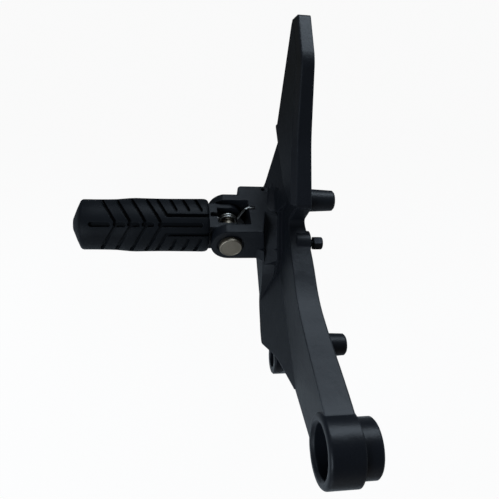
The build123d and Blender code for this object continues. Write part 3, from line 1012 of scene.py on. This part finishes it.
class OBJECT_OT_footrest_sleeve(bpy.types.Operator):
    """Draw the rubber of the footpeg and cut its tread, above and below"""

    bl_idname = "object.footrest_sleeve"
    bl_label = "Footpeg rubber"

    def inside(self, size):
        rings = [(rubber_inside_end, size.bore_radius)]
        for start in reversed(collar_starts):
            rings.append((start + collar_long, size.bore_radius))
            rings.append((start + collar_long, size.bore_radius + collar_rise))
            rings.append((start + collar_rise, size.bore_radius + collar_rise))
            rings.append((start, size.bore_radius))
        return rings

    def tread(self, size):
        top = rubber_outline[4][1] + size.groove_deep
        wide = size.groove_wide
        bars = [groove_bar(start, end, size.bar_wide, top) for start, end in middle_bars]
        for mirror in (tuple, flipped):
            start, end = first_arm
            arm = groove_bar(mirror(start), mirror(end), wide, top)
            bars += copies_along(arm, size.arm_count, inboard * size.arm_pitch)
            start, end = first_short_arm
            arm = groove_bar(mirror(start), mirror(end), wide, top)
            bars += copies_along(arm, size.short_count, inboard * size.short_pitch)
            for start, end in elbow_grooves:
                bars.append(groove_bar(mirror(start), mirror(end), wide, top))
        for bar in list(bars):
            below = bar.copy()
            below.data = bar.data.copy()
            bpy.context.collection.objects.link(below)
            below.location.z = 2 * pivot.z - bar.location.z
            bars.append(below)
        return joined(bars)

    def execute(self, context):
        size = context.scene.footrest_sleeve
        facing = (-inboard).to_track_quat("Z", "Y").to_euler()
        rings = self.inside(size) + [(rubber_outline[0][0], size.bore_radius)] + rubber_outline
        piece = draw_turned("ribbed_peg_rubber", rings, size.sides, pivot, facing)
        finish_mesh(piece)
        floor_rings = [(reach, radius - size.groove_deep) for reach, radius in rubber_outline]
        floor_rings[0] = (0.0100, floor_rings[4][1])
        floor = draw_turned("groove_floor", floor_rings, size.sides, pivot, facing)
        finish_mesh(floor)
        cutters = self.tread(size)
        trim_by(cutters, floor, "DIFFERENCE", True)
        trim_by(piece, cutters, "DIFFERENCE")
        select_only(piece)
        bpy.ops.object.shade_smooth_by_angle(angle=math.radians(32.0))
        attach(piece, "footpeg")
        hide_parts("rubber_sleeve")
        dress(piece, rubber_material(context.scene.footrest_finish))
        return {"FINISHED"}


class OBJECT_OT_footrest_pin(bpy.types.Operator):
    """Draw the pivot pin with its rounded head, its groove and its chamfered tail"""

    bl_idname = "object.footrest_pin"
    bl_label = "Pivot pin"

    def execute(self, context):
        size = context.scene.footrest_pin
        lead = size.shank_radius * pin_lead_share
        chamfer = size.shank_radius - lead
        rings = [
            (size.tail_end, lead),
            (size.tail_end + chamfer, size.shank_radius),
            (size.groove_low, size.shank_radius),
            (size.groove_low, size.groove_radius),
            (size.groove_high, size.groove_radius),
            (size.groove_high, size.shank_radius),
            (size.head_low, size.shank_radius),
            (size.head_low, size.head_radius - size.rim_round / 3),
            (size.head_low + size.rim_round / 3, size.head_radius),
        ]
        head = rounded_rim(size.head_low, size.head_high, size.head_radius, size.rim_round)
        rings += head[1:]
        rim = size.head_radius - size.rim_round
        rings.append((size.head_high, rim * dish_rim_share))
        rings.append((size.head_high - dish_deep, rim * dish_floor_share))
        turn = Matrix.Rotation(pin_lean, 3, "X").to_euler()
        piece = draw_turned("turned_pivot_pin", rings, size.sides, pivot, turn)
        finish_mesh(piece)
        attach(piece, "bracket")
        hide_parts("pivot_pin")
        colour = context.scene.footrest_finish.pin_colour
        dress(piece, steel_material("turned_steel", colour, rough=0.30))
        return {"FINISHED"}


class OBJECT_OT_footrest_spring(bpy.types.Operator):
    """Draw the return spring: hooked leg, coil round the pin and resting leg"""

    bl_idname = "object.footrest_spring"
    bl_label = "Return spring"

    def execute(self, context):
        size = context.scene.footrest_spring
        turn = math.tau * size.turns
        slope = size.pitch / (math.tau * size.coil_radius)
        far_end = size.near_end - size.pitch * size.turns
        # The coil ends outboard of the pin, so its start lies all its turns back from there
        angle = turn - math.pi
        coil_start = pin_point(
            size.coil_radius * math.cos(angle), size.coil_radius * math.sin(angle), far_end
        )
        coil_end = pin_point(-size.coil_radius, 0.0, size.near_end)
        away = inboard * math.sin(angle) - fold_way * math.cos(angle) + pin_way * slope
        rise = fold_way + pin_way * slope
        lead_end = coil_start - away.normalized() * size.lead
        hook_bend = pin_point(*size.hook_bend)
        hook_tip = pin_point(size.hook_end, size.hook_bend[1], size.hook_bend[2])
        elbow = coil_end + rise * size.rest_height
        rest_tip = elbow - inboard * (size.rest_reach - size.coil_radius)
        tip_turn = (-inboard).to_track_quat("Z", "Y").to_euler()
        tip = size.wire_radius * 0.3
        piece = begin_disc(
            "wound_return_spring", size.wire_radius - tip, size.sides, hook_tip, tip_turn
        )
        draw_ring(-inboard, tip, size.wire_radius / (size.wire_radius - tip))
        here = draw_bend(hook_bend, lead_end, hook_tip - inboard * tip, size.bend_radius)
        here = draw_bend(lead_end, coil_start, here, size.bend_radius)
        draw_straight(coil_start, here)
        draw_coil(pivot, size.turns, size.pitch)
        here = draw_bend(elbow, rest_tip, coil_end, size.bend_radius)
        draw_straight(rest_tip + inboard * tip, here)
        draw_ring(-inboard, tip, (size.wire_radius - tip) / size.wire_radius)
        finish_mesh(piece, 50.0)
        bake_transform(piece)
        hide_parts("return_spring")
        colour = context.scene.footrest_finish.spring_colour
        dress(piece, wire_material("drawn_spring_wire", colour))
        return {"FINISHED"}


class OBJECT_OT_footrest_bolt(bpy.types.Operator):
    """Draw the small stop bolt with its thread and its chamfered hexagon head"""

    bl_idname = "object.footrest_bolt"
    bl_label = "Stop bolt"

    def execute(self, context):
        size = context.scene.footrest_bolt
        facing = inboard.to_track_quat("Z", "Y").to_euler()
        root = size.radius - size.thread_deep
        rings = [(-size.grip, root)]
        place = -size.grip + size.thread_pitch / 2
        while place < size.neck - size.thread_pitch:
            rings.append((place, size.radius))
            rings.append((place + size.thread_pitch / 2, root))
            place += size.thread_pitch
        rings.append((size.neck, root))
        shank = draw_turned("threaded_shank", rings, size.sides, bolt_place, facing)
        finish_mesh(shank)
        corner = size.flats / math.sqrt(3.0)
        head_root = bolt_place + inboard * size.neck
        head = begin_disc("hexagon_stop_bolt", corner, 6, head_root, facing)
        draw_ring(inboard, size.head_long, 1.0)
        finish_mesh(head, 20.0)
        flat = size.flats / 2.0
        cone_rings = [
            (size.neck - cone_start_below, corner * cone_root_share),
            (size.neck + size.head_long * cone_middle_height, corner * cone_middle_share),
            (size.neck + size.head_long, flat * cone_top_share),
        ]
        cone = draw_turned("chamfer_cone", cone_rings, size.sides, bolt_place, facing)
        finish_mesh(cone)
        trim_by(head, cone, "INTERSECT")
        select_only(head)
        shank.select_set(True)
        bpy.ops.object.join()
        bpy.ops.object.shade_smooth_by_angle(angle=math.radians(25.0))
        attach(head, "bracket")
        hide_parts("stop_bolt")
        colour = context.scene.footrest_finish.bolt_colour
        dress(head, steel_material("dark_plated_bolt", colour, rough=0.34))
        return {"FINISHED"}


class OBJECT_OT_footrest_finishes(bpy.types.Operator):
    """Give the casting and the peg their coats, rubber and steel"""

    bl_idname = "object.footrest_finishes"
    bl_label = "Finishes"

    def execute(self, context):
        settings = context.scene.footrest_finish
        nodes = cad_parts
        dress(nodes["bracket_casting"], casting_material(settings))
        dress(nodes["peg_core"], peg_material(settings))
        dress(nodes["rubber_sleeve"], rubber_material(settings))
        washer_steel = steel_material("plain_steel_washer", settings.pin_colour, rough=0.34)
        dress(nodes["pin_washer"], washer_steel)
        dress(nodes["pin_circlip"], wire_material("sprung_retaining_ring", settings.spring_colour))
        return {"FINISHED"}


class OBJECT_OT_footrest_stage(bpy.types.Operator):
    """Add the floor, the soft lamps and the camera"""

    bl_idname = "object.footrest_stage"
    bl_label = "Floor, lamps and camera"

    def execute(self, context):
        settings = context.scene.footrest_stage
        floor_z = cad_low.z - settings.floor_gap
        bpy.ops.mesh.primitive_plane_add(size=6.0, location=(0.0, 0.1, floor_z))
        floor = context.object
        floor.name = "floor"
        bpy.ops.object.transform_apply(location=True)
        material, tree = new_material("pale_floor")
        path = tree.nodes.new("ShaderNodeLightPath")
        camera_ray = Wire(tree, path.outputs["Is Camera Ray"])
        # The floor's bounced tone darkens towards the rear as a painted shade under the heel guard;
        # the camera still sees it white
        rear_painted_shade_mask = band(tree, axis_value(tree, object_place(tree), "Y"), *floor_shade_fade)
        tone = blend_colour(tree, rear_painted_shade_mask, rgba(settings.floor_front), rgba(settings.floor_rear_painted_shade))
        plain = node(tree, "ShaderNodeBsdfDiffuse", {}, {"Color": tone})
        white = node(tree, "ShaderNodeEmission", {}, {"Color": (1.0, 1.0, 1.0, 1.0), "Strength": 1.0})
        seen = camera_ray * floor_white_share
        mixed = node(tree, "ShaderNodeMixShader", {}, [seen, plain, white])
        node(tree, "ShaderNodeOutputMaterial", {}, {"Surface": mixed})
        dress(floor, material)
        self.world(context, settings)
        self.lamps(settings)
        self.camera(context, settings)
        context.scene.view_settings.view_transform = "Standard"
        return {"FINISHED"}

    def world(self, context, settings):
        world = bpy.data.worlds.new("pale_surroundings")
        world.use_nodes = True
        tree = world.node_tree
        tree.nodes.clear()
        path = tree.nodes.new("ShaderNodeLightPath")
        camera_ray = Wire(tree, path.outputs["Is Camera Ray"])
        way = Wire(tree, tree.nodes.new("ShaderNodeTexCoord").outputs["Generated"])
        level = blend_colour(
            tree,
            band(tree, axis_value(tree, way, "Z"), *overhead_fade),
            rgba(surround_colour, settings.horizon_strength),
            rgba(surround_colour, settings.overhead_strength),
        )
        around = node(tree, "ShaderNodeBackground", {}, {"Color": level, "Strength": 1.0})
        white_light = {"Color": (1.0, 1.0, 1.0, 1.0), "Strength": 1.0}
        white = node(tree, "ShaderNodeBackground", {}, white_light)
        mixed = node(tree, "ShaderNodeMixShader", {}, [camera_ray, around, white])
        node(tree, "ShaderNodeOutputWorld", {}, {"Surface": mixed})
        context.scene.world = world

    def lamps(self, settings):
        for name, (place, share, wide, tall) in softboxes.items():
            bpy.ops.object.light_add(type="AREA", location=place)
            lamp = bpy.context.object
            lamp.name = name
            lamp.data.shape = "RECTANGLE"
            lamp.data.size = wide
            lamp.data.size_y = tall
            lamp.data.color = settings.lamp_colour
            lamp.data.energy = settings.key_power * share
            facing = (softbox_target - place).to_track_quat("-Z", "Y")
            lamp.rotation_euler = facing.to_euler()

    def camera(self, context, settings):
        tilt_sin, tilt_cos = math.sin(camera_tilt), math.cos(camera_tilt)
        swing_sin, swing_cos = math.sin(camera_swing), math.cos(camera_swing)
        across = Vector((swing_cos, tilt_sin * swing_sin, tilt_cos * swing_sin))
        ahead = Vector((swing_sin, -tilt_sin * swing_cos, -tilt_cos * swing_cos))
        up = across.cross(ahead)
        bpy.ops.object.camera_add(location=camera_eye)
        camera = context.object
        camera.name = "camera"
        camera.data.sensor_width = 36.0
        camera.data.lens = settings.lens
        camera.data.clip_start = 0.01
        camera.data.clip_end = 20.0
        turn = Matrix((across, up, -ahead)).transposed()
        camera.matrix_world = Matrix.Translation(camera_eye) @ turn.to_4x4()
        context.scene.camera = camera


class VIEW3D_PT_footrest(bpy.types.Panel):
    """Lists the steps that dress the footrest bracket"""

    bl_label = "Footrest bracket"
    bl_idname = "VIEW3D_PT_footrest"
    bl_space_type = "VIEW_3D"
    bl_region_type = "UI"
    bl_category = "Footrest"

    def draw(self, context):
        layout = self.layout
        for name in settings_groups:
            group = getattr(context.scene, name)
            box = layout.box()
            for key in group.bl_rna.properties.keys():
                if key not in ("rna_type", "name"):
                    box.prop(group, key)
        for operator in steps:
            layout.operator(operator.bl_idname)


settings_groups = {
    "footrest_stage": StageSettings,
    "footrest_finish": FinishSettings,
    "footrest_pin": PinSettings,
    "footrest_sleeve": SleeveSettings,
    "footrest_spring": SpringSettings,
    "footrest_bolt": BoltSettings,
}
steps = (
    OBJECT_OT_footrest_stage,
    OBJECT_OT_footrest_finishes,
    OBJECT_OT_footrest_sleeve,
    OBJECT_OT_footrest_pin,
    OBJECT_OT_footrest_spring,
    OBJECT_OT_footrest_bolt,
)


def register():
    for name, group in settings_groups.items():
        bpy.utils.register_class(group)
        setattr(bpy.types.Scene, name, PointerProperty(type=group))
    for operator in steps:
        bpy.utils.register_class(operator)
    bpy.utils.register_class(VIEW3D_PT_footrest)


def unregister():
    bpy.utils.unregister_class(VIEW3D_PT_footrest)
    for operator in reversed(steps):
        bpy.utils.unregister_class(operator)
    for name, group in settings_groups.items():
        delattr(bpy.types.Scene, name)
        bpy.utils.unregister_class(group)


def main():
    register()
    deselect_all()
    bpy.ops.object.footrest_stage()
    bpy.ops.object.footrest_finishes()
    bpy.ops.object.footrest_sleeve()
    bpy.ops.object.footrest_pin()
    bpy.ops.object.footrest_spring()
    bpy.ops.object.footrest_bolt()


if __name__ == "__main__":
    main()
